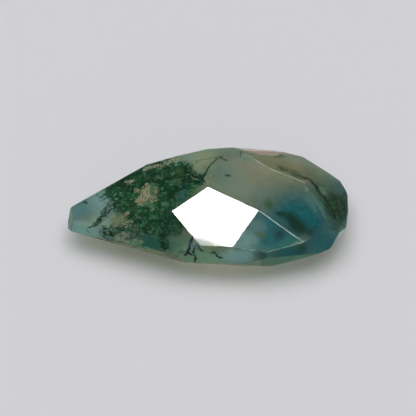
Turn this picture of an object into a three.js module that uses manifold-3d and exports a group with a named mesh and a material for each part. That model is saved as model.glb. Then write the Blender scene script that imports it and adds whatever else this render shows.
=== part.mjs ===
// A faceted moss agate: one loose stone, a long pear cut by hand with large flat facets.
//
// Units are millimetres. +Z is up, and the stone rests on the flat facet under it, at z = 0.
// Its long axis lies along X, with the narrow end at -X and the round end at +X. The front,
// at -Y, is the side with the wide leaning facet. The origin is on the resting facet, under
// the middle of the stone.
//
// The stone starts as a sawn slab. Each facet is then ground flat, as on a lap, so it is
// given as a cutter sets it: the way that it faces round the stone (heading, anticlockwise
// from +X), how far it leans from level (lean), and how far from the middle of the girdle it
// lies (depth).

import * as THREE from "three";
import { mergeVertices } from "three/addons/utils/BufferGeometryUtils.js";
import Module from "manifold-3d";

// Driving dimensions
const SLAB = { length: 27, width: 16, height: 6.4 };
const GIRDLE_HEIGHT = 2.4;
const GIRDLE_DROP = 0.3;
const PAVILION_LEAN = 148;
const GRINDER_SIZE = 60;

// The top, from the wide front facet to the small ones at the corners
const CROWN_FACETS = {
  front: { heading: 257, lean: 17, depth: 2.81 },
  top: { heading: 301, lean: 6.5, depth: 2.88 },
  topRight: { heading: 326.5, lean: 14, depth: 3.54 },
  frontRight: { heading: 273, lean: 20.3, depth: 3.31 },
  frontRightCorner: { heading: 277.5, lean: 24.5, depth: 3.89 },
  topLeft: { heading: 185, lean: 13, depth: 2.83 },
  frontLeft: { heading: 236.5, lean: 28, depth: 3.56 },
  backLeft: { heading: 112.5, lean: 11, depth: 3.35 },
  backRight: { heading: 35.5, lean: 24, depth: 4.81 },
  roundEnd: { heading: 3, lean: 32, depth: 6.24 },
  backEdge: { heading: 71, lean: 35.5, depth: 5.34 },
};

// The steep band between the top and the girdle
const BAND_FACETS = {
  bandFront: { heading: 261, lean: 59, depth: 5.62 },
  bandFrontRight: { heading: 283, lean: 62.5, depth: 7.25 },
  bandRightCorner: { heading: 307, lean: 55, depth: 8.51 },
  bandBackLeft: { heading: 122, lean: 60, depth: 6.37 },
  bandBackMiddle: { heading: 103, lean: 60, depth: 5.43 },
  bandBackTop: { heading: 89, lean: 59, depth: 5.59 },
  bandBackRight: { heading: 76.5, lean: 65.5, depth: 6.81 },
  bandBackEnd: { heading: 45.5, lean: 60, depth: 8.94 },
  bandTip: { heading: 179, lean: 62, depth: 10.8 },
};

// The girdle, which is nearly upright
const GIRDLE_FACETS = {
  girdleFrontLeft: { heading: 245, lean: 90, depth: 6.85 },
  girdleFrontMiddle: { heading: 271, lean: 90, depth: 7.2 },
  girdleFrontRight: { heading: 279.5, lean: 91, depth: 7.74 },
  girdleRight: { heading: 289, lean: 92, depth: 8.85 },
  girdleRightEnd: { heading: 325, lean: 92, depth: 11.7 },
  girdleRoundEnd: { heading: 351, lean: 92, depth: 12.4 },
};

// The underside: how far out from the middle each facet starts, just under the girdle
const PAVILION_SIDES = [
  { heading: 245, reach: 6.85 },
  { heading: 261, reach: 6.62 },
  { heading: 291, reach: 8.95 },
  { heading: 325, reach: 11.7 },
  { heading: 351, reach: 12.53 },
  { heading: 22, reach: 12.5 },
  { heading: 46, reach: 10.28 },
  { heading: 86, reach: 6.6 },
  { heading: 103, reach: 6.3 },
  { heading: 122, reach: 7.3 },
];

// The narrow end's underside starts lower and leans less
const TIP_PAVILION = { heading: 177, reach: 12.68, drop: 0.7, lean: 155 };

const wasm = await Module();
wasm.setup();

// Closed three.js geometry to a solid
function toSolid(geometry, matrix) {
  const bare = geometry.clone();
  bare.applyMatrix4(matrix);
  bare.deleteAttribute("normal");
  bare.deleteAttribute("uv");
  const merged = mergeVertices(bare, 1e-5);
  const vertProperties = new Float32Array(merged.attributes.position.array);
  const triVerts = new Uint32Array(merged.index.array);
  return new wasm.Manifold(new wasm.Mesh({ numProp: 3, vertProperties, triVerts }));
}

// Solid back to flat-shaded three.js geometry
function toGeometry(solid) {
  const { vertProperties, triVerts } = solid.getMesh();
  const geometry = new THREE.BufferGeometry();
  geometry.setAttribute("position", new THREE.BufferAttribute(new Float32Array(vertProperties), 3));
  geometry.setIndex(new THREE.BufferAttribute(new Uint32Array(triVerts), 1));
  const flat = geometry.toNonIndexed();
  flat.computeVertexNormals();
  return flat;
}

// The direction that a facet faces
function facetNormal({ heading, lean }) {
  const turn = THREE.MathUtils.degToRad(heading);
  const tilt = THREE.MathUtils.degToRad(lean);
  return new THREE.Vector3(
    Math.sin(tilt) * Math.cos(turn),
    Math.sin(tilt) * Math.sin(turn),
    Math.cos(tilt),
  );
}

// Everything outside one facet's plane, as a block that stands on that plane
function grindingBlock(facet) {
  const normal = facetNormal(facet);
  const turn = new THREE.Quaternion().setFromUnitVectors(new THREE.Vector3(0, 0, 1), normal);
  const centre = normal.clone().multiplyScalar(facet.depth + GRINDER_SIZE / 2);
  centre.z += GIRDLE_HEIGHT;
  const matrix = new THREE.Matrix4().compose(centre, turn, new THREE.Vector3(1, 1, 1));
  return toSolid(new THREE.BoxGeometry(GRINDER_SIZE, GRINDER_SIZE, GRINDER_SIZE), matrix);
}

// An underside facet through the edge that lies at its reach, a drop below the girdle's middle
function pavilionFacet({ heading, reach, drop = GIRDLE_DROP, lean = PAVILION_LEAN }) {
  const tilt = THREE.MathUtils.degToRad(lean);
  return { heading, lean, depth: reach * Math.sin(tilt) - drop * Math.cos(tilt) };
}

function cutStone() {
  const slab = new THREE.BoxGeometry(SLAB.length, SLAB.width, SLAB.height);
  const raised = new THREE.Matrix4().makeTranslation(0, 0, SLAB.height / 2);
  const facets = [
    ...Object.values(CROWN_FACETS),
    ...Object.values(BAND_FACETS),
    ...Object.values(GIRDLE_FACETS),
    ...PAVILION_SIDES.map(pavilionFacet),
    pavilionFacet(TIP_PAVILION),
  ];
  let stone = toSolid(slab, raised);
  for (const facet of facets) {
    stone = stone.subtract(grindingBlock(facet));
  }
  return toGeometry(stone);
}

// Polished stone: cloudy blue-green, with moss-green growths that are only colour
const mossAgate = new THREE.MeshStandardMaterial({
  color: "#4f6f66",
  roughness: 0.08,
  metalness: 0,
  flatShading: true,
});

const geometry = cutStone();
geometry.computeBoundingBox();
const middle = geometry.boundingBox.getCenter(new THREE.Vector3());
geometry.translate(-middle.x, -middle.y, 0);

const stone = new THREE.Mesh(geometry, mossAgate);
stone.name = "moss_agate_stone";

const group = new THREE.Group();
group.add(stone);

export default group;
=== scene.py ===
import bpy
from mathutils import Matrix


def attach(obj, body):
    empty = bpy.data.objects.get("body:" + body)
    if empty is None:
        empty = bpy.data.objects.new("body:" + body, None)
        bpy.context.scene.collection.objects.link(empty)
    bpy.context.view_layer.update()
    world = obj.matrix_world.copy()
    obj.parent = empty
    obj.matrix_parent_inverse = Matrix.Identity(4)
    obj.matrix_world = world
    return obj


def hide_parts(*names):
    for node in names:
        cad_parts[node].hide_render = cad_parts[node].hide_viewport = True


bl_info = {
    "name": "Faceted moss agate",
    "version": (1, 0, 0),
    "blender": (4, 5, 0),
    "location": "3D View > Sidebar > Moss agate",
    "description": "Dresses the cut stone: cloudy chalcedony with green moss inside, on a table",
    "category": "Add Mesh",
}

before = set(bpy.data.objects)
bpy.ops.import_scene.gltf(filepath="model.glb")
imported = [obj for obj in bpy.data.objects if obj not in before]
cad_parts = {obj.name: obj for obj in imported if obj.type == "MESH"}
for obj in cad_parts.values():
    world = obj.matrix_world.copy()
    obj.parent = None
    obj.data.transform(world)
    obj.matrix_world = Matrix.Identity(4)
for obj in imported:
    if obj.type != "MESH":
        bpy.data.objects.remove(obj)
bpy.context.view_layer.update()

import math
import random

import bmesh
import bpy
from bpy.props import FloatProperty, FloatVectorProperty, IntProperty, PointerProperty
from mathutils import Euler, Matrix, Vector

MM = 0.001
STONE_NODE = "moss_agate_stone"
BODY = "root"

# The picture, in pixels: its side, its scale, the place that everything in the stone is measured
# from, and where the middle of the stone's outline lies
PICTURE_SIDE = 416
PIXELS_PER_MM = 11.2
PICTURE_ORIGIN = (209.0, 206.75)
OUTLINE_MIDDLE = (208.05, 206.64)

# Facets of the stone by the way they face: heading round the stone and lean from level
FACETS = {
    "front": (257, 17), "top": (301, 6.5), "top_right": (326.5, 14), "front_right": (273, 20.3),
    "front_right_corner": (277.5, 24.5), "front_left": (236.5, 28), "back_right": (35.5, 24),
    "round_end": (3, 32), "back_edge": (71, 35.5), "band_front": (261, 59),
    "band_front_right": (283, 62.5), "band_right_corner": (307, 55), "band_tip": (179, 62),
    "girdle_front_left": (245, 90), "girdle_front_middle": (271, 90),
    "girdle_front_right": (279.5, 91), "girdle_right_end": (325, 92),
}
# Directions within the first of these, in radians, belong to one facet, and a point within the
# second of a facet's plane lies on that facet
SAME_FACET = 0.04
ON_FACET = 0.03 * MM

# Edges that the wheel left a little rounder, which catch the light as thin lines, and how much
ROUNDER_EDGES = {
    ("top_right", "front_right"): 0.7, ("top_right", "front_right_corner"): 0.7,
    ("top", "back_right"): 1.0, ("top_right", "back_right"): 1.0,
    ("top_right", "round_end"): 0.35, ("front", "band_front"): 0.8,
    ("front_right", "band_front"): 0.9, ("front_right", "band_front_right"): 0.9,
    ("front_right_corner", "band_right_corner"): 0.9,
    ("band_front", "girdle_front_middle"): 1.0, ("band_front_right", "girdle_front_right"): 1.0,
}

# Everything inside the stone is placed as the camera sees it: across and up from the picture's
# origin, in mm, with half-widths in mm and a turn in degrees.

# Beds of moss: across, up, half-width, half-height, turn, how dense the moss is, and the
# least and most depth of its sprigs under the facet
MOSS_BEDS = [
    (-6.3, 2.5, 3.6, 0.95, 26, 1.0, 0.1, 0.9),
    (-3.0, 2.7, 1.8, 1.4, 20, 0.95, 0.1, 1.2),
    (-3.8, 0.9, 1.1, 1.5, 0, 0.9, 0.2, 1.6),
    (-2.3, 1.7, 1.6, 0.8, 33, 0.85, 0.3, 1.6),
    (-7.5, 0.5, 1.5, 1.2, 0, 0.85, 0.1, 1.0),
    (-5.4, -0.9, 2.3, 0.9, -12, 0.7, 0.1, 1.2),
    (-3.5, -1.6, 1.3, 0.9, -35, 0.66, 0.2, 1.4),
    (-8.9, -2.2, 0.8, 0.5, 0, 0.55, 0.1, 0.4),
    (-7.1, -2.0, 1.6, 0.8, -12, 0.55, 0.1, 0.8),
    (-4.0, -3.0, 0.5, 0.9, 10, 0.8, 0.2, 0.8),
    (-9.4, -0.8, 1.2, 0.35, 50, 0.5, 0.1, 0.5),
    (-0.9, 2.5, 0.8, 0.5, -20, 0.7, 0.2, 0.8),
    (-2.4, -1.0, 0.7, 1.2, 30, 0.75, 0.2, 1.2),
    (-5.0, -2.0, 1.3, 0.6, -15, 0.75, 0.2, 1.0),
    (11.4, -0.1, 0.7, 1.2, 12, 0.85, 0.2, 0.9),
]

# Openings in the moss where the stone shows, pale partly from the stone itself and partly from
# painted light of the table shining through: across, up, half-width, half-height, turn, colour
MOSS_WINDOWS = [
    (-5.65, 1.3, 0.4, 0.75, 0, "#D8D0AC"),
    (-6.05, 0.5, 0.5, 0.4, 0, "#D0C8A4"),
    (-5.0, 0.75, 0.3, 0.3, 0, "#C4BC98"),
    (-4.7, 1.4, 0.2, 0.3, 0, "#B4B48C"),
    (-6.5, 1.5, 0.2, 0.25, 0, "#C4BC98"),
    (-5.1, -0.2, 0.2, 0.25, 0, "#94AC84"),
    (-4.9, -0.9, 0.14, 0.14, 0, "#74986C"),
    (-8.1, -1.2, 0.6, 0.55, 0, "#A4B894"),
    (-7.4, -0.7, 0.35, 0.2, 45, "#C0B898"),
    (-7.2, 2.2, 0.5, 0.22, 15, "#C0BC9C"),
    (-7.2, -1.5, 0.45, 0.28, 20, "#A4BC9C"),
    (-5.2, 3.5, 0.8, 0.14, 20, "#C8BC9C"),
    (-3.6, 3.95, 0.9, 0.2, 30, "#ACB08C"),
    (-7.5, -2.5, 0.5, 0.3, 0, "#A8BCA4"),
    (-1.35, 2.6, 0.28, 0.14, -40, "#94AC84"),
    (-0.1, 2.5, 0.3, 0.35, 0, "#A8B898"),
    (-2.9, 2.2, 0.5, 0.3, 0, "#50885C"),
    (-3.9, 0.3, 0.35, 0.3, 0, "#68A084"),
    (-6.6, -3.1, 0.6, 0.25, 0, "#88B494"),
    (-8.0, -2.9, 0.6, 0.2, -14, "#B4CCB0"),
    (-6.6, -3.45, 0.9, 0.2, -14, "#8CB898"),
    (-5.4, -3.75, 0.7, 0.15, -14, "#88B494"),
    (-2.3, 1.1, 0.6, 0.35, 30, "#3C8480"),
]

# Single moss threads as the camera sees them: depth under the facet, radius, how many twigs
# grow from each point of the line, and the line's points in the picture, all in mm. Those with
# the least bold radius or more also show as dark branches close under the polish.
LEAST_BOLD_RADIUS = 0.04
MOSS_THREADS = [
    (0.15, 0.035, 0.4, [(-10.0, 1.1), (-9.6, 0.8), (-9.2, 0.4), (-8.9, -0.1)]),
    (0.15, 0.030, 0.4, [(-9.9, 0.8), (-9.5, 0.5), (-9.1, 0.0)]),
    (0.12, 0.045, 1.0, [(-9.0, 0.2), (-9.3, -0.4), (-9.6, -0.9), (-10.0, -1.3), (-10.4, -1.7)]),
    (0.12, 0.045, 1.2, [(-8.7, -0.2), (-9.1, -0.7), (-9.5, -1.0), (-10.0, -1.5)]),
    (0.10, 0.045, 1.2, [(-9.9, -1.6), (-10.4, -1.8), (-10.8, -1.9), (-10.8, -2.3)]),
    (0.10, 0.035, 1.0, [(-10.2, -1.9), (-10.4, -2.3), (-10.2, -2.6)]),
    (0.10, 0.040, 1.4, [(-9.5, -1.7), (-9.2, -2.1), (-9.4, -2.6), (-9.0, -2.9)]),
    (0.15, 0.040, 1.4, [(-8.6, -1.7), (-8.9, -2.1), (-8.4, -2.5), (-8.6, -3.0)]),
    (0.15, 0.045, 1.4, [(-8.3, -1.9), (-7.8, -1.9), (-7.3, -1.6), (-6.8, -1.5), (-6.4, -1.2)]),
    (0.12, 0.040, 0.6, [(-10.1, -2.8), (-9.5, -3.0), (-8.9, -3.1), (-8.3, -3.25)]),
    (0.15, 0.035, 1.6, [(-8.2, -2.9), (-7.6, -3.2), (-7.1, -3.0), (-6.7, -3.4)]),
    (0.20, 0.045, 0.5, [(-0.5, 2.6), (-0.2, 3.2), (0.1, 3.7), (0.5, 4.1), (1.0, 4.4), (1.6, 4.1)]),
    (0.15, 0.035, 0.8, [(-1.2, 4.0), (-0.6, 4.2), (0.1, 4.3), (0.8, 4.5), (1.2, 4.5)]),
    (0.20, 0.050, 1.6, [(-0.4, 2.3), (-0.8, 2.8), (-1.2, 2.6), (-1.7, 2.9), (-2.2, 3.4)]),
    (0.25, 0.045, 1.4, [(-0.9, 2.1), (-1.5, 2.2), (-2.1, 2.7)]),
    (0.08, 0.090, 1.8, [(-1.4, -2.6), (-1.7, -3.1), (-1.8, -3.6), (-1.8, -4.0), (-1.4, -4.4)]),
    (0.08, 0.080, 1.6, [(-1.8, -3.9), (-1.9, -4.2), (-2.2, -4.3)]),
    (0.08, 0.070, 1.4, [(-0.9, -3.0), (-1.1, -3.4), (-0.9, -3.7), (-0.6, -4.0)]),
    (0.08, 0.070, 1.4, [(-1.3, -3.6), (-1.4, -4.0), (-1.2, -4.3), (-1.2, -4.8)]),
    (0.08, 0.030, 0.4, [(-0.8, -4.2), (-0.2, -4.2), (0.3, -4.0), (0.6, -3.9), (1.2, -4.5)]),
    (0.08, 0.080, 1.8, [(0.2, -4.1), (0.6, -4.2), (0.9, -4.4), (1.1, -4.6)]),
    (0.20, 0.040, 0.8, [(6.3, 3.6), (6.6, 3.3), (7.1, 3.2)]),
    (0.25, 0.038, 0.8, [(7.2, 3.0), (7.8, 2.8), (8.4, 2.7)]),
    (0.20, 0.090, 1.4, [(8.5, 2.6), (9.0, 2.4), (9.4, 2.0), (9.7, 1.5), (10.1, 1.0), (10.6, 0.5)]),
    (0.20, 0.080, 1.4, [(10.4, 0.6), (10.8, 0.1), (11.1, -0.4), (11.3, -1.1)]),
    (0.20, 0.035, 0.6, [(9.6, 2.1), (10.2, 1.8), (10.6, 1.3), (10.9, 0.9)]),
    (0.20, 0.060, 1.6, [(11.0, 1.0), (11.3, 0.5), (11.5, 0.0), (11.6, -0.6)]),
    (0.10, 0.080, 0.8, [(1.6, 2.75), (1.8, 2.8)]),
    (0.10, 0.030, 0.3, [(2.8, 4.4), (2.8, 4.8), (2.9, 5.0)]),
    (0.20, 0.080, 1.0, [(-11.1, 0.4), (-10.9, 0.3)]),
]

# One step of a single thread, in metres, and of its twigs, in mm. Then how many different sprigs
# the moss is made of, and how many times each sprig branches.
THREAD_STEP = 0.22 * MM
TWIG_STEP = 0.13
SPRIG_KINDS = 8
SPRIG_FORKS = 22

# The scuffed lower left corner of the front facet
WORN_CORNER = (-1.0, -4.0, 4.2, 2.0, -12)

# Colour zones of the stone, laid one over the other. They give partly the milk's own colour and
# partly painted light: zones bound to one facet paint the reflections and shade that the facet
# shows, and the pale olive and beige ones paint light from the table shining through. Columns:
# the one facet that shows the zone, if it isn't seen through all, across, up, half-width,
# half-height, turn, the colour there, how clear the stone is there, and how strongly the zone
# shows
COLOUR_ZONES = [
    # The narrow end
    ("", -11.1, -0.6, 2.6, 3.2, 0, "#7CACB0", 0.68, 1.0),
    ("", -11.2, 0.5, 1.5, 0.35, 27, "#5C9090", 0.75, 0.6),
    ("front_left", -11.0, -2.2, 2.8, 1.0, -14, "#A0D4CC", 0.50, 1.0),
    ("band_tip", -12.5, -1.0, 1.2, 2.0, 0, "#5C9C7C", 0.50, 1.0),
    # The mossy part
    ("", -5.3, 0.6, 4.8, 4.0, 0, "#5CAC8C", 0.72, 1.0),
    ("", -9.3, 0.4, 1.4, 1.6, -15, "#A8D4D4", 0.60, 0.95),
    ("", -9.6, -1.4, 1.2, 0.8, 0, "#B8ECE0", 0.68, 0.95),
    ("", -4.9, -3.2, 1.9, 0.8, -8, "#3CA59B", 0.80, 1.0),
    ("", -2.7, -3.3, 1.3, 0.8, 0, "#74BCAC", 0.75, 0.95),
    ("", -1.3, -3.7, 1.0, 0.7, 0, "#A4CCD4", 0.75, 0.95),
    ("", -2.2, 1.2, 1.6, 1.0, 30, "#3C8C7C", 0.80, 1.0),
    ("", -3.2, -1.2, 1.5, 1.7, 0, "#388C7C", 0.80, 0.95),
    # Above the front facet
    ("", 2.8, 2.3, 3.6, 2.8, 0, "#A4C4C4", 0.68, 1.0),
    ("", -0.8, 3.9, 1.9, 1.2, 10, "#BCDCC0", 0.75, 0.9),
    ("", -0.6, 4.6, 0.9, 0.25, 0, "#D0CCA0", 0.70, 0.9),
    ("", 0.9, 3.1, 1.4, 1.1, 0, "#84BCC4", 0.75, 0.7),
    ("", 4.2, 2.9, 2.4, 1.2, -20, "#B8BCA8", 0.65, 0.7),
    # The round end
    ("", 8.1, -0.8, 4.8, 3.3, 0, "#107484", 0.48, 1.0),
    ("top", 4.8, 3.4, 1.4, 0.5, -35, "#C8CCBC", 0.60, 0.6),
    ("top_right", 6.2, 2.75, 1.9, 0.4, -23, "#B4C4AC", 0.60, 0.7),
    ("top_right", 8.75, 1.75, 0.3, 0.4, -15, "#B4BC98", 0.50, 0.8),
    ("", 5.2, 0.2, 0.45, 0.55, 0, "#3C7850", 0.65, 0.7),
    ("top_right", 9.2, 0.3, 1.8, 0.4, -60, "#5C9CA0", 0.60, 0.8),
    ("top_right", 9.8, -2.4, 1.0, 0.4, -20, "#347C8C", 0.60, 0.7),
    ("top_right", 6.35, -0.6, 0.55, 0.28, 0, "#0C4044", 0.60, 0.9),
    ("top_right", 7.3, -0.95, 0.8, 0.5, -10, "#0C4440", 0.60, 0.8),
    ("top_right", 8.0, -1.8, 1.5, 0.7, -25, "#083834", 0.62, 0.9),
    ("front_right", 5.8, -1.75, 0.6, 0.4, -30, "#1C5C64", 0.60, 0.7),
    ("front_right", 5.4, -2.5, 3.2, 2.8, -25, "#2C88A0", 0.60, 1.0),
    ("front_right", 3.2, -3.0, 1.3, 1.2, 35, "#98D4E4", 0.62, 0.9),
    ("front_right", 4.3, -1.7, 0.9, 0.7, -30, "#7CB0BC", 0.60, 0.8),
    ("front_right", 4.55, -2.6, 0.45, 0.35, 0, "#6C8C58", 0.60, 0.7),
    ("front_right", 4.9, -3.75, 1.2, 0.3, -8, "#509CA8", 0.60, 0.8),
    ("front_right", 6.3, -2.5, 0.7, 0.6, -30, "#1C5C6C", 0.60, 0.9),
    ("front_right_corner", 7.3, -3.4, 2.2, 1.2, 0, "#38949C", 0.60, 1.0),
    ("front_right_corner", 7.9, -3.2, 0.7, 0.35, 10, "#90C0B0", 0.60, 0.9),
    ("band_right_corner", 10.3, -3.0, 3.2, 2.2, 30, "#3091A0", 0.60, 1.0),
    ("band_right_corner", 11.2, -2.3, 0.8, 0.6, 40, "#68A4B0", 0.60, 0.9),
    # Painted highlight: a pale rim along the right end, as the far girdle facets catch the bright
    # room
    ("girdle_right_end", 11.9, -2.6, 1.5, 1.2, 0, "#B0E4DC", 0.40, 1.0),
    ("", 12.2, -1.1, 0.6, 1.7, -12, "#CCF8F4", 0.26, 1.0),
    ("round_end", 11.0, 0.0, 3.0, 3.8, 0, "#186450", 0.60, 1.0),
    ("round_end", 9.9, 0.0, 1.9, 0.4, -60, "#5C9C9C", 0.60, 0.9),
    ("round_end", 11.4, 0.1, 0.8, 1.2, 12, "#003820", 0.78, 1.0),
    ("round_end", 11.3, -1.2, 1.0, 0.2, 45, "#50847C", 0.55, 0.8),
    ("", 10.2, 1.4, 0.8, 0.5, -45, "#70AC94", 0.70, 0.8),
    ("round_end", 11.8, 1.6, 0.5, 1.1, 30, "#44747C", 0.65, 0.9),
    # The back of the round end
    ("back_right", 7.4, 3.6, 5.4, 2.6, -25, "#9CA884", 0.65, 1.0),
    ("back_right", 7.6, 4.2, 1.9, 0.5, -25, "#A8B0A4", 0.60, 0.7),
    ("back_right", 6.3, 4.55, 0.7, 0.14, -8, "#4C6C60", 0.60, 0.9),
    ("back_right", 9.2, 2.95, 1.0, 0.45, -30, "#688C74", 0.65, 0.7),
    ("back_right", 6.6, 3.4, 0.5, 0.2, -20, "#5C7450", 0.70, 0.8),
    ("back_right", 7.8, 2.85, 0.9, 0.3, -20, "#44705C", 0.70, 0.9),
    ("back_right", 11.3, 1.9, 0.7, 0.7, -45, "#5C8480", 0.65, 0.9),
    ("back_edge", 2.5, 4.95, 1.5, 0.6, 0, "#98A088", 0.50, 1.0),
    # Painted reflection: a pale pink strip along the far top edge, the room behind as that grazing
    # facet mirrors it
    ("back_edge", 5.2, 4.9, 2.4, 0.7, -3, "#DCC0B0", 0.40, 1.0),
    ("", 5.0, 4.9, 2.3, 0.17, -5, "#D8BCAC", 0.40, 0.9),
    # The band under the front
    ("band_front", -0.5, -4.6, 3.4, 1.0, 0, "#9CD6B8", 0.60, 1.0),
    ("band_front", 2.6, -4.3, 1.9, 0.9, 0, "#A4E4F4", 0.58, 0.95),
    ("band_front", 4.9, -4.3, 1.1, 0.8, 0, "#20707C", 0.60, 0.95),
    ("band_front_right", 7.2, -4.1, 3.0, 1.2, 10, "#187C94", 0.60, 1.0),
    ("band_front_right", 8.2, -3.8, 0.45, 0.6, 0, "#18584C", 0.60, 0.9),
    ("girdle_front_left", -7.0, -3.7, 6.0, 2.0, -14, "#A0AC80", 0.50, 1.0),
    # Painted shade: a darker strip along the lower rim, in the colour of the shadow under it
    ("", -3.3, -4.3, 0.8, 0.2, -14, "#587C60", 0.55, 0.6),
    ("girdle_front_middle", 3.8, -5.0, 2.0, 0.8, 0, "#8CB8A0", 0.55, 1.0),
    # Painted shadow: a warm beige strip along the lower rim, in the colour of the contact shadow
    # under it
    ("", 1.7, -5.2, 2.6, 0.2, -2, "#BCB498", 0.35, 0.8),
    ("girdle_front_right", 7.2, -4.8, 3.4, 1.0, 4, "#409C84", 0.55, 1.0),
]

# Minerals of the moss, with their darkest and lightest colours
MOSS_GREENS = [
    ("deep_green_chlorite", "#086038", "#189054"),
    ("mid_green_chlorite", "#0C6C44", "#28A068"),
    ("pale_green_chlorite", "#187C4C", "#38B078"),
]

# Where the lamps hang, seen from the stone: azimuth and elevation in degrees
SOFTBOX_WAY, TENT_WAY, FILL_WAY = (111, 77.5), (92, 83), (-90, 30)

# The softbox and the soft rims round it: how many times its width, and its share of brightness
SOFTBOX_RINGS = {"softbox": (1.0, 1.0), "softbox_rim": (1.3, 0.3), "softbox_veil": (1.6, 0.12)}

# The two panels of the light tent: distance in metres, and the kinds of rays that don't see the
# panel. Both light the table, but only the nearer one shows through the stone.
TENT_PANELS = {
    "light_tent": (0.90, ("glossy",)), "tent_panel": (0.94, ("glossy", "transmission")),
}

# Lamps that only the rounded edges mirror: azimuth and elevation, width and height in metres,
# and share of the edge lamps' brightness
EDGE_LAMPS = {
    "high_line": ((47, 67), (0.20, 0.20), 1.0),
    "ridge_line": ((60, 32), (0.42, 0.20), 0.55),
    "front_line": ((-79, 55), (0.34, 0.24), 1.6),
}


def srgb(code, alpha=1.0):
    """An sRGB hex colour as the linear values that a shader takes."""
    values = [int(code[i:i + 2], 16) / 255 for i in (1, 3, 5)]
    linear = [v / 12.92 if v <= 0.04045 else ((v + 0.055) / 1.055) ** 2.4 for v in values]
    return (*linear, alpha)


class StageSettings(bpy.types.PropertyGroup):
    """The table, the lights and the camera."""

    azimuth: FloatProperty(
        name="Camera azimuth", default=math.radians(-4), subtype="ANGLE",
        description="How far round the stone the camera stands",
    )
    elevation: FloatProperty(
        name="Camera elevation", default=math.radians(45), subtype="ANGLE",
        description="How far above the table the camera stands",
    )
    distance: FloatProperty(
        name="Camera distance", default=1.0, unit="LENGTH",
        description="From the camera to the stone",
    )
    floor_colour: FloatVectorProperty(
        name="Table", default=srgb("#E2E4E8")[:3], size=3, subtype="COLOR",
        description="Colour of the matt white table",
    )
    glow_colour: FloatVectorProperty(
        name="Table glow", default=srgb("#FFFDF4")[:3], size=3, subtype="COLOR",
        description="Colour of the light that comes up through the table",
    )
    glow: FloatProperty(
        name="Table glow strength", default=0.08,
        description="Brightness of the light that comes up through the table",
    )
    softbox_brightness: FloatProperty(
        name="Softbox", default=25.0,
        description="Brightness of the small softbox that the front facet mirrors",
    )
    softbox_width: FloatProperty(
        name="Softbox width", default=0.16, unit="LENGTH",
        description="Diameter of the small softbox",
    )
    tent_brightness: FloatProperty(
        name="Tent", default=0.76,
        description="Brightness of the wide overhead light",
    )
    fill_brightness: FloatProperty(
        name="Fill", default=0.36,
        description="Brightness of the warm light that fills the shadow from the front",
    )
    line_brightness: FloatProperty(
        name="Edge lamps", default=15.0,
        description="Brightness of the lamps that only the stone's rounded edges mirror",
    )
    room_low: FloatProperty(
        name="Room, low", default=0.22,
        description="Brightness of the room near the horizon",
    )
    room_high: FloatProperty(
        name="Room, high", default=0.10,
        description="Brightness of the room overhead",
    )


class StoneSettings(bpy.types.PropertyGroup):
    """The cut and polished chalcedony."""

    edge: FloatProperty(
        name="Edge width", default=0.025 * MM, unit="LENGTH",
        description="Width of the tiny rounded edge between two facets",
    )
    round_edge: FloatProperty(
        name="Round edge width", default=0.05 * MM, unit="LENGTH",
        description="Width of the edges that are rounder and catch the light",
    )
    least_edge: FloatProperty(
        name="Least edge", default=0.12 * MM, unit="LENGTH",
        description="Shorter edges than this are closed up, because they hold the rounding back",
    )
    ior: FloatProperty(
        name="IOR", default=1.54,
        description="Refractive index of chalcedony",
    )
    roughness: FloatProperty(
        name="Polish", default=0.06,
        description="Roughness of the polished facets",
    )
    worn_roughness: FloatProperty(
        name="Worn corner", default=0.45,
        description="Roughness of the scuffed lower left corner of the front facet",
    )
    absorption: FloatProperty(
        name="Absorption", default=125.0,
        description="How strongly the stone takes up light, per metre",
    )


class MossSettings(bpy.types.PropertyGroup):
    """The green growths inside the stone."""

    stoutness: FloatProperty(
        name="Stoutness", default=1.3,
        description="How much thicker the single threads are than their listed radius",
    )
    jitter: FloatProperty(
        name="Waver", default=0.05 * MM, unit="LENGTH",
        description="How far a single thread strays from its line",
    )
    thickness: FloatProperty(
        name="Thread radius", default=0.028 * MM, unit="LENGTH",
        description="Radius of one moss thread",
    )
    reach: FloatProperty(
        name="Sprig reach", default=0.13 * MM, unit="LENGTH",
        description="Length of one step of a thread",
    )
    crowding: FloatProperty(
        name="Crowding", default=7.0,
        description="Sprigs to the square mm in the densest moss",
    )
    margin: FloatProperty(
        name="Depth under the polish", default=0.04 * MM, unit="LENGTH",
        description="Least clear stone above the moss",
    )
    seed: IntProperty(
        name="Seed", default=7,
        description="Seed of the random growth",
    )


def use_mode(mode):
    if bpy.context.object and bpy.context.object.mode != mode:
        bpy.ops.object.mode_set(mode=mode)


def deselect_all():
    use_mode("OBJECT")
    bpy.ops.object.select_all(action="DESELECT")


def make_active(piece):
    deselect_all()
    piece.select_set(True)
    bpy.context.view_layer.objects.active = piece


def facet_planes():
    """Outward normal and distance from the origin of each facet of the stone."""
    planes = {}
    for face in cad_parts[STONE_NODE].data.polygons:
        if face.area > 1e-9:
            key = tuple(round(value, 3) for value in face.normal)
            planes[key] = (face.normal.copy(), face.normal.dot(face.center))
    return list(planes.values())


def facet_ways():
    """The direction that each named facet faces."""
    ways = {}
    for name, (heading, lean) in FACETS.items():
        turn, tilt = math.radians(heading), math.radians(lean)
        ways[name] = Vector(
            (math.sin(tilt) * math.cos(turn), math.sin(tilt) * math.sin(turn), math.cos(tilt)),
        )
    return ways


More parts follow.
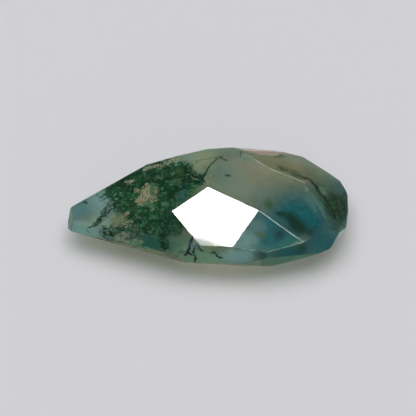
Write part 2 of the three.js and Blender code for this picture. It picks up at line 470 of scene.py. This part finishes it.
class PictureView:
    """How the camera sees the stone, to place things in it by where the picture shows them."""

    def __init__(self, scene):
        settings = scene.moss_agate_stage
        a, e = settings.azimuth, settings.elevation
        self.towards = Vector(
            (math.sin(a) * math.cos(e), -math.cos(a) * math.cos(e), math.sin(e)),
        )
        self.right = Vector((math.cos(a), math.sin(a), 0))
        self.up = self.towards.cross(self.right)
        self.planes = facet_planes()
        self.ior = scene.moss_agate_stone.ior
        self.origin = self.find_origin()

    def find_origin(self):
        """The point in the stone that lies behind the picture's origin."""
        corners = [v.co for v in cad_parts[STONE_NODE].data.vertices]
        middle = []
        for axis in (self.right, self.up, self.towards):
            reach = [corner.dot(axis) for corner in corners]
            middle.append((min(reach) + max(reach)) / 2)
        across, down = (
            (a - b) / PIXELS_PER_MM * MM for a, b in zip(PICTURE_ORIGIN, OUTLINE_MIDDLE)
        )
        flat = self.right * (middle[0] + across) + self.up * (middle[1] - down)
        return flat + self.towards * middle[2]

    def under_facet(self, across, up, depth=0):
        """The point at a depth under the facet that the picture shows at a place, in mm."""
        start = self.origin + self.right * across * MM + self.up * up * MM + self.towards * 0.1
        ray = -self.towards
        entry, facing = -1.0, None
        for normal, distance in self.planes:
            slope = normal.dot(ray)
            if slope < 0:
                reach = (distance - normal.dot(start)) / slope
                if reach > entry:
                    entry, facing = reach, normal
        cosine = -facing.dot(ray)
        inside = math.sqrt(1 - (1 - cosine ** 2) / self.ior ** 2)
        bent = ray / self.ior + facing * (cosine / self.ior - inside)
        return start + ray * entry + bent * (depth * MM / inside)

    def keep_inside(self, point, margin):
        """Moves a point in until it lies the margin or more below every facet."""
        for _ in range(2):
            for normal, distance in self.planes:
                over = normal.dot(point) - distance + margin
                if over > 0:
                    point = point - normal * over
        return point


def add_node(tree, kind, settings=None, **links):
    """Adds a node, sets its properties, and sets or links its named inputs."""
    node = tree.nodes.new(kind)
    for name, value in (settings or {}).items():
        setattr(node, name, value)
    for name, value in links.items():
        key = int(name[1:]) if name[0] == "i" and name[1:].isdigit() else name.replace("_", " ")
        if isinstance(value, bpy.types.NodeSocket):
            tree.links.new(value, node.inputs[key])
        else:
            node.inputs[key].default_value = value
    return node


def new_material(name):
    """An empty material and its node tree."""
    material = bpy.data.materials.new(name)
    material.use_nodes = True
    material.node_tree.nodes.clear()
    return material, material.node_tree


def lay_over(tree, share, look, colour, clearness):
    """Lays a colour and how clear the stone is over a look, which is such a pair, by a share."""
    tint = add_node(
        tree, "ShaderNodeMix", {"data_type": "RGBA"}, i0=share, i6=look[0], i7=colour,
    )
    clear = add_node(
        tree, "ShaderNodeMix", {"data_type": "FLOAT"}, i0=share, i2=look[1], i3=clearness,
    )
    return tint.outputs[2], clear.outputs[0]


def cloud(tree, place, view, oval, depth, strength=1.0, edge=(1.4, 0.25)):
    """How far a point lies in a soft oval cloud: 0 outside, its strength in the middle.

    The oval is its middle in the picture, across and up, its half-width and half-height, in mm,
    and its turn in degrees. The depth is its half-size along the line of sight, in mm. The edge
    tells how far out it ends and how far in it is full, as shares of these.
    """
    across, up, wide, high, turn = oval
    turn = math.radians(turn)
    along = view.right * math.cos(turn) + view.up * math.sin(turn)
    over = view.up * math.cos(turn) - view.right * math.sin(turn)
    around = add_node(
        tree, "ShaderNodeMapping", {"vector_type": "TEXTURE"},
        Vector=place, Location=view.under_facet(across, up),
        Rotation=Matrix((along, over, view.towards)).transposed().to_euler(),
        Scale=Vector((wide, high, depth)) * MM * edge[0],
    )
    ball = add_node(
        tree, "ShaderNodeTexGradient", {"gradient_type": "SPHERICAL"}, Vector=around.outputs[0],
    )
    return add_node(
        tree, "ShaderNodeMapRange", {"interpolation_type": "SMOOTHSTEP"},
        i0=ball.outputs["Fac"], i1=0.0, i2=1 - edge[1] / edge[0], i3=0.0, i4=strength,
    ).outputs[0]


def stray(tree, place, scale, detail, reach):
    """The place moved about by noise, so that the clouds have ragged edges."""
    noise = add_node(
        tree, "ShaderNodeTexNoise", Vector=place, Scale=scale, Detail=detail, Roughness=0.65,
    )
    shift = add_node(
        tree, "ShaderNodeVectorMath", {"operation": "MULTIPLY_ADD"},
        i0=noise.outputs["Color"], i1=(2 * reach,) * 3, i2=(-reach,) * 3,
    )
    return add_node(
        tree, "ShaderNodeVectorMath", {"operation": "ADD"}, i0=place, i1=shift.outputs[0],
    ).outputs[0]


def tear(tree, share, ragged, low, high, strength):
    """Makes the soft edge of a cloud ragged: 0 up to the low value, its strength from the high."""
    torn = add_node(
        tree, "ShaderNodeMath", {"operation": "MULTIPLY_ADD"}, i0=share, i1=ragged, i2=share,
    )
    return add_node(
        tree, "ShaderNodeMapRange", {"interpolation_type": "SMOOTHSTEP"},
        i0=torn.outputs[0], i1=low, i2=high, i3=0.0, i4=strength,
    ).outputs[0]


def facet_shares(tree, place, planes):
    """For each named facet, 1 on that facet and 0 elsewhere."""
    shares = {}
    for name, way in facet_ways().items():
        for normal, distance in planes:
            if normal.angle(way) < SAME_FACET:
                over = add_node(
                    tree, "ShaderNodeVectorMath", {"operation": "DOT_PRODUCT"},
                    i0=place, i1=normal,
                )
                shares[name] = add_node(
                    tree, "ShaderNodeMath", {"operation": "COMPARE"},
                    i0=over.outputs["Value"], i1=distance, i2=ON_FACET,
                ).outputs[0]
    return shares


def milk_and_painted_light_zones(tree, place, view, shares):
    """Colour zones, laid one over the other: the milk, with painted light, reflections and shade.
    """
    look = srgb("#9FBBB4"), 0.85
    for facet, *oval, code, clearness, strength in COLOUR_ZONES:
        share = cloud(tree, place, view, oval, 4.0, strength)
        if facet:
            share = add_node(
                tree, "ShaderNodeMath", {"operation": "MULTIPLY"}, i0=share, i1=shares[facet],
            ).outputs[0]
        look = lay_over(tree, share, look, srgb(code), clearness)
    return look


def moss_density(tree, place, view):
    """How dense the moss is, by its beds."""
    density = 0.0
    for *oval, dense, _, _ in MOSS_BEDS:
        share = cloud(tree, place, view, oval, 3.0, dense, (1.3, 0.7))
        density = add_node(
            tree, "ShaderNodeMath", {"operation": "MAXIMUM"}, i0=share, i1=density,
        ).outputs[0]
    return density


def moss_windows(tree, place, view, ragged, look, density):
    """Opens ragged windows in the moss: pale stone, with painted light of the table shining
    through.
    """
    for *oval, code in MOSS_WINDOWS:
        share = cloud(tree, place, view, oval, 2.0, 1.0, (1.7, 0.4))
        share = tear(tree, share, ragged, 0.3, 0.6, 0.9)
        look = lay_over(tree, share, look, srgb(code), 0.5)
        density = add_node(
            tree, "ShaderNodeMix", {"data_type": "FLOAT"}, i0=share, i2=density, i3=0.28,
        ).outputs[0]
    return look, density


def moss_specks(tree, place, look, density):
    """Pale specks of about 0.4 mm between the threads of the moss."""
    speck = add_node(
        tree, "ShaderNodeTexNoise", Vector=place, Scale=2600.0, Detail=2.0, Roughness=0.5,
    )
    speck = add_node(
        tree, "ShaderNodeMapRange", {"interpolation_type": "SMOOTHSTEP"},
        i0=speck.outputs[0], i1=0.58, i2=0.68, i3=0.0, i4=0.65,
    )
    speck = add_node(
        tree, "ShaderNodeMath", {"operation": "MULTIPLY"}, i0=speck.outputs[0], i1=density,
    ).outputs[0]
    density = add_node(
        tree, "ShaderNodeMix", {"data_type": "FLOAT"}, i0=speck, i2=density, i3=0.25,
    ).outputs[0]
    return lay_over(tree, speck, look, srgb("#98BC90"), 0.5), density


def fine_grain(tree, place, colour):
    """Fine grain: dark specks of about 0.5 mm and a few pale ones all through the stone."""
    grain = add_node(
        tree, "ShaderNodeTexNoise", Vector=place, Scale=2100.0, Detail=5.0, Roughness=0.75,
    )
    for low, high, code in ((0.46, 0.30, "#183834"), (0.58, 0.78, "#D0E8E0")):
        share = add_node(
            tree, "ShaderNodeMapRange", i0=grain.outputs[0], i1=low, i2=high, i3=0.0, i4=0.28,
        ).outputs[0]
        colour = add_node(
            tree, "ShaderNodeMix", {"data_type": "RGBA"}, i0=share, i6=colour, i7=srgb(code),
        ).outputs[2]
    return colour


def moss_lace(tree, place, look, density):
    """A lace of threads round openings up to 0.7 mm wide, which close where the moss is dense."""
    patchy = add_node(
        tree, "ShaderNodeTexNoise", Vector=place, Scale=900.0, Detail=3.0, Roughness=0.6,
    )
    dense = add_node(
        tree, "ShaderNodeMath", {"operation": "MULTIPLY"}, i0=patchy.outputs[0], i1=density,
    ).outputs[0]
    gap = 1.0
    for scale in (1400.0, 2500.0):
        lace = add_node(
            tree, "ShaderNodeTexVoronoi", {"feature": "DISTANCE_TO_EDGE"},
            Vector=stray(tree, place, 0.9 * scale, 3.0, 0.8 / scale), Scale=scale,
        )
        millimetres = add_node(
            tree, "ShaderNodeMath", {"operation": "MULTIPLY"},
            i0=lace.outputs["Distance"], i1=1000 / scale,
        )
        gap = add_node(
            tree, "ShaderNodeMath", {"operation": "MINIMUM"}, i0=millimetres.outputs[0], i1=gap,
        ).outputs[0]
    bulk = add_node(
        tree, "ShaderNodeMath", {"operation": "MULTIPLY_ADD"}, i0=gap, i1=-1.2, i2=dense,
    )
    mass = add_node(
        tree, "ShaderNodeMapRange", {"interpolation_type": "SMOOTHSTEP"},
        i0=bulk.outputs[0], i1=0.18, i2=0.34, i3=0.0, i4=0.9,
    )
    width = add_node(
        tree, "ShaderNodeMath", {"operation": "MULTIPLY_ADD"}, i0=dense, i1=0.17, i2=-0.01,
    )
    inside = add_node(
        tree, "ShaderNodeMath", {"operation": "SUBTRACT"}, i0=width.outputs[0], i1=gap,
    )
    thread = add_node(
        tree, "ShaderNodeMapRange", {"interpolation_type": "SMOOTHSTEP"},
        i0=inside.outputs[0], i1=-0.015, i2=0.02, i3=0.0, i4=0.85,
    )
    mottle = add_node(
        tree, "ShaderNodeTexNoise", Vector=place, Scale=1300.0, Detail=4.0, Roughness=0.6,
    )
    shade = add_node(
        tree, "ShaderNodeMapRange", i0=mottle.outputs[0], i1=0.42, i2=0.62, i3=0.0, i4=1.0,
    )
    green = add_node(
        tree, "ShaderNodeMix", {"data_type": "RGBA"},
        i0=shade.outputs[0], i6=srgb("#106840"), i7=srgb("#54C88C"),
    )
    look = lay_over(tree, mass.outputs[0], look, green.outputs[2], 0.58)
    return lay_over(tree, thread.outputs[0], look, srgb("#184C30"), 0.76)


def bold_branches(tree, place, view, ragged, look):
    """The stouter threads, which lie so close under the polish that no milk covers them."""
    near = stray(tree, place, 2200.0, 3.0, 0.42 * MM)
    branch = 0.0
    for _, radius, _, line in MOSS_THREADS:
        if radius < LEAST_BOLD_RADIUS:
            continue
        for start, end in zip(line, line[1:]):
            start, end = Vector(start), Vector(end)
            middle, way = (start + end) / 2, end - start
            turn = math.degrees(math.atan2(way.y, way.x))
            oval = (*middle, way.length / 2 + radius, 0.95 * radius, turn)
            share = cloud(tree, near, view, oval, 0.6, 1.0, (1.6, 0.6))
            branch = add_node(
                tree, "ShaderNodeMath", {"operation": "MAXIMUM"}, i0=share, i1=branch,
            ).outputs[0]
    branch = tear(tree, branch, ragged, 0.25, 0.6, 0.95)
    return lay_over(tree, branch, look, srgb("#10462A"), 0.80)


def chalcedony_material(settings, view):
    """Chalcedony, cut and polished: glassy, with blue-green milk, olive light and moss in it."""
    material, tree = new_material("polished_chalcedony")
    place = add_node(tree, "ShaderNodeTexCoord").outputs["Object"]
    shares = facet_shares(tree, place, view.planes)

    # A noise scale counts cells to the metre, so 1400 is a cell of 0.7 mm, and 450 one of 2.2 mm
    fine = stray(tree, place, 1400.0, 3.0, 0.3 * MM)
    drift = stray(tree, place, 450.0, 4.0, 0.55 * MM)
    ragged = add_node(
        tree, "ShaderNodeTexNoise", Vector=place, Scale=2400.0, Detail=4.0, Roughness=0.6,
    )
    ragged = add_node(
        tree, "ShaderNodeMath", {"operation": "MULTIPLY_ADD"},
        i0=ragged.outputs[0], i1=5.0, i2=-2.4,
    ).outputs[0]
    look, density = milk_and_painted_light_zones(tree, drift, view, shares), moss_density(tree, fine, view)
    look, density = moss_windows(tree, fine, view, ragged, look, density)
    (colour, clear), density = moss_specks(tree, place, look, density)
    look = moss_lace(tree, place, (fine_grain(tree, place, colour), clear), density)
    look = bold_branches(tree, place, view, ragged, look)

    # Light that has crossed the stone turns warm, which shows on the underside
    height = add_node(tree, "ShaderNodeSeparateXYZ", Vector=place).outputs["Z"]
    under = add_node(
        tree, "ShaderNodeMapRange", {"interpolation_type": "SMOOTHSTEP"},
        i0=height, i1=1.6 * MM, i2=1.1 * MM, i3=0.0, i4=0.8,
    ).outputs[0]
    look = lay_over(tree, under, look, srgb("#DCB98C"), 0.9)

    worn = cloud(tree, place, view, WORN_CORNER, 2.0, 1.0, (1.2, 0.0))
    worn = add_node(
        tree, "ShaderNodeMath", {"operation": "MULTIPLY"}, i0=worn, i1=shares["front"],
    ).outputs[0]
    roughness = add_node(
        tree, "ShaderNodeMix", {"data_type": "FLOAT"},
        i0=worn, i2=settings.roughness, i3=settings.worn_roughness,
    ).outputs[0]
    add_polish(tree, settings, look, roughness)
    return material


def edge_highlight_material(settings):
    """Chalcedony where two facets meet: a little dull, and pale as a painted highlight on the
    edges.
    """
    material, tree = new_material("painted_highlight_edge_chalcedony")
    place = add_node(tree, "ShaderNodeTexCoord").outputs["Object"]
    noise = add_node(tree, "ShaderNodeTexNoise", Vector=place, Scale=700.0, Detail=3.0)
    colour = add_node(
        tree, "ShaderNodeMix", {"data_type": "RGBA"},
        i0=noise.outputs[0], i6=srgb("#A0C0B4"), i7=srgb("#C8DCD4"),
    ).outputs[2]
    add_polish(tree, settings, (colour, 0.35), 0.12)
    return material


def add_polish(tree, settings, look, roughness):
    """The polished surface, and the stone under it that takes up light."""
    shader = add_node(
        tree, "ShaderNodeBsdfPrincipled", Base_Color=look[0], Transmission_Weight=look[1],
        Roughness=roughness, IOR=settings.ior,
    )
    volume = add_node(
        tree, "ShaderNodeVolumeAbsorption",
        Color=(0.60, 0.62, 0.0, 1), Density=settings.absorption,
    )
    add_node(
        tree, "ShaderNodeOutputMaterial",
        Surface=shader.outputs[0], Volume=volume.outputs[0],
    )


def moss_material(name, dark, light):
    """Chlorite and hornblende threads: dull green mineral with no polish of its own."""
    material, tree = new_material(name)
    place = add_node(tree, "ShaderNodeTexCoord").outputs["Object"]
    noise = add_node(tree, "ShaderNodeTexNoise", Vector=place, Scale=900.0, Detail=2.0)
    colour = add_node(
        tree, "ShaderNodeMix", {"data_type": "RGBA"},
        i0=noise.outputs[0], i6=srgb(dark), i7=srgb(light),
    ).outputs[2]
    shader = add_node(tree, "ShaderNodeBsdfPrincipled", Base_Color=colour, Roughness=0.7)
    add_node(tree, "ShaderNodeOutputMaterial", Surface=shader.outputs[0])
    return material


def table_material(settings):
    """Matt white acrylic sheet: no grain at this scale, and a dull even white."""
    material, tree = new_material("matt_acrylic_table")
    shader = add_node(
        tree, "ShaderNodeBsdfPrincipled", Base_Color=(*settings.floor_colour, 1), Roughness=0.6,
        Specular_IOR_Level=0.0,
        Emission_Color=(*settings.glow_colour, 1), Emission_Strength=settings.glow,
    )
    add_node(tree, "ShaderNodeOutputMaterial", Surface=shader.outputs[0])
    return material


class MOSSAGATE_OT_stage(bpy.types.Operator):
    """Makes the table, the lights, the room and the camera"""

    bl_idname = "moss_agate.stage"
    bl_label = "Stage"

    def execute(self, context):
        settings = context.scene.moss_agate_stage
        deselect_all()
        bpy.ops.mesh.primitive_circle_add(
            vertices=64, radius=2.0, fill_type="NGON", location=(0, 0, -0.01 * MM),
        )
        table = context.object
        bpy.ops.object.transform_apply(location=True)
        table.name = "table"
        table.data.materials.append(table_material(settings))
        self.add_room(context, settings)
        self.add_lights(settings)
        self.add_camera(context, settings)
        context.scene.view_settings.view_transform = "Standard"
        return {"FINISHED"}

    def add_room(self, context, settings):
        """A dim warm room, a little brighter near the horizon."""
        world = bpy.data.worlds.new("room")
        context.scene.world = world
        world.use_nodes = True
        tree = world.node_tree
        tree.nodes.clear()
        place = add_node(tree, "ShaderNodeTexCoord").outputs["Generated"]
        height = add_node(tree, "ShaderNodeSeparateXYZ", Vector=place).outputs["Z"]
        fall = add_node(
            tree, "ShaderNodeMapRange", {"interpolation_type": "SMOOTHSTEP"},
            i0=height, i1=0.1, i2=0.6, i3=settings.room_low, i4=settings.room_high,
        )
        background = add_node(
            tree, "ShaderNodeBackground", Color=srgb("#FFF9EE"), Strength=fall.outputs[0],
        )
        add_node(tree, "ShaderNodeOutputWorld", Surface=background.outputs[0])

    def add_lights(self, settings):
        """The softbox, the overhead tent, the fill and the lamps for the rounded edges."""
        for name, (growth, share) in SOFTBOX_RINGS.items():
            width, distance = settings.softbox_width * growth, 0.8 + 0.01 * growth
            self.add_light(
                name, SOFTBOX_WAY, distance, (width, width), settings.softbox_brightness * share,
                "#FFFFFF", ("diffuse", "transmission"),
            )
        for name, (distance, unseen) in TENT_PANELS.items():
            self.add_light(
                name, TENT_WAY, distance, (1.5, 1.5), settings.tent_brightness, "#FAF9FE", unseen,
            )
        self.add_light(
            "front_fill", FILL_WAY, 0.9, (0.9, 0.9), settings.fill_brightness, "#FFE8BC",
            ("glossy",),
        )
        for name, (way, size, share) in EDGE_LAMPS.items():
            self.add_light(
                name, way, 0.8, size, settings.line_brightness * share, "#F4FAFF",
                ("diffuse", "transmission"),
            )

    def add_light(self, name, way, distance, size, brightness, colour, unseen):
        """A round or oval lamp that faces the stone, and that some kinds of rays don't see."""
        a, e = math.radians(way[0]), math.radians(way[1])
        towards = Vector((math.cos(a) * math.cos(e), math.sin(a) * math.cos(e), math.sin(e)))
        bpy.ops.object.light_add(type="AREA", location=towards * distance)
        lamp = bpy.context.object
        lamp.name = name
        lamp.rotation_euler = towards.to_track_quat("Z", "Y").to_euler()
        lamp.data.shape = "ELLIPSE"
        lamp.data.size, lamp.data.size_y = size
        lamp.data.energy = brightness * math.pi * (math.pi / 4 * size[0] * size[1])
        lamp.data.color = srgb(colour)[:3]
        for rays in unseen:
            setattr(lamp, f"visible_{rays}", False)

    def add_camera(self, context, settings):
        """A camera far enough away for a nearly level perspective, framed as the picture is."""
        data = bpy.data.cameras.new("camera")
        camera = bpy.data.objects.new("camera", data)
        context.scene.collection.objects.link(camera)
        view = PictureView(context.scene)
        half = PICTURE_SIDE / 2
        aim = view.origin - view.right * (PICTURE_ORIGIN[0] - half) / PIXELS_PER_MM * MM
        aim += view.up * (PICTURE_ORIGIN[1] - half) / PIXELS_PER_MM * MM
        camera.location = aim + view.towards * settings.distance
        camera.rotation_euler = view.towards.to_track_quat("Z", "Y").to_euler()
        width = PICTURE_SIDE / PIXELS_PER_MM * MM
        data.lens = data.sensor_width * settings.distance / width
        data.clip_start = 0.01
        data.clip_end = 10
        context.scene.camera = camera


class MOSSAGATE_OT_stone(bpy.types.Operator):
    """Makes the polished stone from the CAD solid, with its edges a hair rounded"""

    bl_idname = "moss_agate.stone"
    bl_label = "Stone"

    def execute(self, context):
        settings = context.scene.moss_agate_stone
        deselect_all()
        stone = bpy.data.objects.new("polished_stone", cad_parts[STONE_NODE].data.copy())
        context.scene.collection.objects.link(stone)
        make_active(stone)
        stone.data.materials.clear()
        use_mode("EDIT")
        bpy.ops.mesh.select_all(action="SELECT")
        bpy.ops.mesh.remove_doubles(threshold=0.0005 * MM)
        bpy.ops.mesh.dissolve_limited(angle_limit=math.radians(0.5))
        bpy.ops.mesh.select_all(action="SELECT")
        bpy.ops.mesh.remove_doubles(threshold=settings.least_edge)
        bpy.ops.mesh.normals_make_consistent(inside=False)
        use_mode("OBJECT")
        self.weigh_edges(stone, settings)
        bpy.ops.object.modifier_add(type="BEVEL")
        bevel = stone.modifiers[-1]
        bevel.width = settings.round_edge
        bevel.segments = 6
        bevel.limit_method = "WEIGHT"
        bevel.use_clamp_overlap = True
        bevel.material = 1
        bpy.ops.object.modifier_apply(modifier=bevel.name)
        view = PictureView(context.scene)
        stone.data.materials.append(chalcedony_material(settings, view))
        stone.data.materials.append(edge_highlight_material(settings))
        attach(stone, BODY)
        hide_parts(STONE_NODE)
        return {"FINISHED"}

    def weigh_edges(self, stone, settings):
        """Gives each edge its share of the bevel: full on the rounder edges, less on the rest."""
        ways = facet_ways()
        weights = stone.data.attributes.new("bevel_weight_edge", "FLOAT", "EDGE")
        beside = {edge.index: [] for edge in stone.data.edges}
        for face in stone.data.polygons:
            for loop in face.loop_indices:
                beside[stone.data.loops[loop].edge_index].append(face.normal)
        for edge, normals in beside.items():
            weight = settings.edge / settings.round_edge
            for (one, other), share in ROUNDER_EDGES.items():
                for first, second in (normals, normals[::-1]):
                    one_fits = first.angle(ways[one]) < SAME_FACET
                    if one_fits and second.angle(ways[other]) < SAME_FACET:
                        weight = share
            weights.data[edge].value = weight


class Growth:
    """Threads that grow edge by edge from a seed vertex, each vertex with its own radius."""

    def __init__(self, name, radius):
        deselect_all()
        bpy.ops.mesh.primitive_plane_add(size=MM)
        self.piece = bpy.context.object
        self.piece.name = name
        use_mode("EDIT")
        bpy.ops.mesh.select_all(action="SELECT")
        bpy.ops.mesh.merge(type="CENTER")
        self.places, self.radii, self.roots = [Vector()], [radius], [0]

    def select(self, number):
        """Selects one vertex and nothing else."""
        mesh = bmesh.from_edit_mesh(self.piece.data)
        for vertex in mesh.verts:
            vertex.select_set(vertex.index == number)
        mesh.select_flush_mode()
        bmesh.update_edit_mesh(self.piece.data)

    def grow(self, parent, step, radius):
        """Extrudes an edge from a vertex, and gives the number of its far end."""
        self.select(parent)
        bpy.ops.mesh.extrude_region_move(TRANSFORM_OT_translate={"value": step})
        self.places.append(self.places[parent] + step)
        self.radii.append(radius)
        return len(self.places) - 1

    def grow_to(self, parent, point, radius):
        """Extrudes an edge from a vertex to a point, and gives the number of its far end."""
        number = self.grow(parent, point - self.places[parent], radius)
        self.places[number] = point
        return number

    def drop_seed(self):
        """Takes the seed vertex away, so that every line stands alone."""
        self.select(0)
        bpy.ops.mesh.delete(type="VERT")
        self.radii = self.radii[1:]
        self.roots = [number - 1 for number in self.roots[1:]]

    def thicken(self):
        """Turns the edges into rounded threads, applies that, and gives the piece."""
        use_mode("OBJECT")
        make_active(self.piece)
        bpy.ops.object.modifier_add(type="SKIN")
        for number, vertex in enumerate(self.piece.data.skin_vertices[0].data):
            vertex.radius = (self.radii[number], self.radii[number])
            vertex.use_root = number in self.roots
        bpy.ops.object.modifier_apply(modifier=self.piece.modifiers[0].name)
        return self.piece


def random_way(rng, reach):
    """Three random numbers, each up to the reach either way."""
    return Vector([rng.uniform(-reach, reach) for _ in range(3)])


class MOSSAGATE_OT_threads(bpy.types.Operator):
    """Grows the single moss threads and their twigs inside the stone"""

    bl_idname = "moss_agate.threads"
    bl_label = "Moss threads"

    def execute(self, context):
        settings = context.scene.moss_agate_moss
        view = PictureView(context.scene)
        rng = random.Random(settings.seed + 1)
        growth = Growth("moss_threads", settings.thickness)
        for depth, radius, twigs, line in MOSS_THREADS:
            radius *= settings.stoutness
            parent = 0
            for number, (across, up) in enumerate(line):
                goal, first = view.under_facet(across, up, depth), growth.places[parent]
                steps = max(1, round((goal - first).length / THREAD_STEP)) if number else 1
                for step in range(1, steps + 1):
                    point = goal if not number else first.lerp(goal, step / steps)
                    point = point + random_way(rng, 1) * settings.jitter
                    point = view.keep_inside(point, radius * MM + settings.margin)
                    if not number:
                        growth.roots.append(len(growth.places))
                    parent = growth.grow_to(parent, point, radius * MM * rng.uniform(0.7, 1.3))
                    if rng.random() < twigs * 0.6:
                        self.grow_twig(growth, parent, radius, view, settings, rng)
        growth.drop_seed()
        threads = growth.thicken()
        for vertex in threads.data.vertices:
            vertex.co = view.keep_inside(vertex.co, settings.margin)
        threads.data.materials.append(
            moss_material("dark_green_hornblende", "#0C3420", "#1C5C3C"),
        )
        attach(threads, BODY)
        return {"FINISHED"}

    def grow_twig(self, growth, parent, radius, view, settings, rng):
        """A side twig of one to three short steps."""
        way = random_way(rng, 1)
        way.normalize()
        for _ in range(rng.choice((1, 2, 2, 3))):
            way = (way + random_way(rng, 0.6)).normalized()
            point = growth.places[parent] + way * TWIG_STEP * MM * rng.uniform(0.6, 1.4)
            point = view.keep_inside(point, radius * MM + settings.margin)
            parent = growth.grow_to(parent, point, radius * MM * rng.uniform(0.5, 1.0))


class MOSSAGATE_OT_moss(bpy.types.Operator):
    """Grows the clouds of green moss sprigs inside the stone"""

    bl_idname = "moss_agate.moss"
    bl_label = "Moss"

    def execute(self, context):
        settings = context.scene.moss_agate_moss
        view = PictureView(context.scene)
        rng = random.Random(settings.seed)
        sprigs = [self.model_sprig(settings, rng) for _ in range(SPRIG_KINDS)]
        for group, (name, dark, light) in enumerate(MOSS_GREENS):
            vertices, faces = [], []
            for bed in MOSS_BEDS[group::len(MOSS_GREENS)]:
                self.fill_bed(bed, sprigs, view, settings, rng, vertices, faces)
            mesh = bpy.data.meshes.new(f"moss_cloud_{group + 1}")
            mesh.from_pydata(vertices, [], faces)
            mesh.materials.append(moss_material(name, dark, light))
            cloud_piece = bpy.data.objects.new(mesh.name, mesh)
            context.scene.collection.objects.link(cloud_piece)
            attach(cloud_piece, BODY)
        for sprig in sprigs:
            bpy.data.objects.remove(sprig)
        return {"FINISHED"}

    def model_sprig(self, settings, rng):
        """One sprig of moss: a branching line of edges, thickened into lumpy threads."""
        growth = Growth("sprig", 0.0)
        tips = [(0, Vector((0, 0, 1)))]
        for _ in range(SPRIG_FORKS):
            parent, heading = tips.pop(rng.randrange(len(tips)))
            for _ in range(rng.choice((1, 1, 2, 3) if len(growth.places) > 1 else (3, 4))):
                spread = 0.9 if len(growth.places) > 1 else math.pi
                way = heading.copy()
                way.rotate(Euler(random_way(rng, spread)))
                step = way * settings.reach * rng.uniform(0.6, 1.2)
                tips.append((growth.grow(parent, step, 0.0), way))
        growth.radii = [settings.thickness * rng.uniform(0.6, 1.7) for _ in growth.places]
        return growth.thicken()

    def fill_bed(self, bed, sprigs, view, settings, rng, vertices, faces):
        """Copies sprigs into one bed, clear of the windows and of the stone's surface."""
        across, up, wide, high, turn, dense, shallow, deep = bed
        turn = math.radians(turn)
        for _ in range(round(math.pi * wide * high * dense * settings.crowding)):
            radius, angle = math.sqrt(rng.random()), rng.uniform(0, math.tau)
            x, y = wide * radius * math.cos(angle), high * radius * math.sin(angle)
            x, y = x * math.cos(turn) - y * math.sin(turn), x * math.sin(turn) + y * math.cos(turn)
            x, y = across + x, up + y
            if self.in_window(x, y, rng.uniform(0.3, 1.0)):
                continue
            place = view.under_facet(x, y, rng.uniform(shallow, deep))
            spin = Euler([rng.uniform(0, math.tau) for _ in range(3)]).to_matrix()
            spin *= rng.uniform(0.7, 1.3)
            sprig = rng.choice(sprigs)
            first = len(vertices)
            for vertex in sprig.data.vertices:
                vertices.append(view.keep_inside(place + spin @ vertex.co, settings.margin))
            for face in sprig.data.polygons:
                faces.append([first + index for index in face.vertices])

    def in_window(self, x, y, share):
        """Whether a place lies in an opening that is shrunk to a share of its size."""
        for across, up, wide, high, turn, _ in MOSS_WINDOWS:
            turn = math.radians(turn)
            dx, dy = x - across, y - up
            along = dx * math.cos(turn) + dy * math.sin(turn)
            over = -dx * math.sin(turn) + dy * math.cos(turn)
            if (along / wide) ** 2 + (over / high) ** 2 < share:
                return True
        return False


class MOSSAGATE_PT_sidebar(bpy.types.Panel):
    """Sizes and colours of the stone, and a button for each piece"""

    bl_label = "Moss agate"
    bl_space_type = "VIEW_3D"
    bl_region_type = "UI"
    bl_category = "Moss agate"

    def draw(self, context):
        for operator, group in (
            (MOSSAGATE_OT_stage, context.scene.moss_agate_stage),
            (MOSSAGATE_OT_stone, context.scene.moss_agate_stone),
            (MOSSAGATE_OT_moss, context.scene.moss_agate_moss),
            (MOSSAGATE_OT_threads, context.scene.moss_agate_moss),
        ):
            box = self.layout.box()
            for name in group.__annotations__:
                box.prop(group, name)
            box.operator(operator.bl_idname)


CLASSES = (
    StageSettings,
    StoneSettings,
    MossSettings,
    MOSSAGATE_OT_stage,
    MOSSAGATE_OT_stone,
    MOSSAGATE_OT_moss,
    MOSSAGATE_OT_threads,
    MOSSAGATE_PT_sidebar,
)


def register():
    for item in CLASSES:
        bpy.utils.register_class(item)
    bpy.types.Scene.moss_agate_stage = PointerProperty(type=StageSettings)
    bpy.types.Scene.moss_agate_stone = PointerProperty(type=StoneSettings)
    bpy.types.Scene.moss_agate_moss = PointerProperty(type=MossSettings)


def unregister():
    del bpy.types.Scene.moss_agate_moss
    del bpy.types.Scene.moss_agate_stone
    del bpy.types.Scene.moss_agate_stage
    for item in reversed(CLASSES):
        bpy.utils.unregister_class(item)


def main():
    register()
    bpy.ops.moss_agate.stage()
    bpy.ops.moss_agate.stone()
    bpy.ops.moss_agate.moss()
    bpy.ops.moss_agate.threads()


if __name__ == "__main__":
    main()
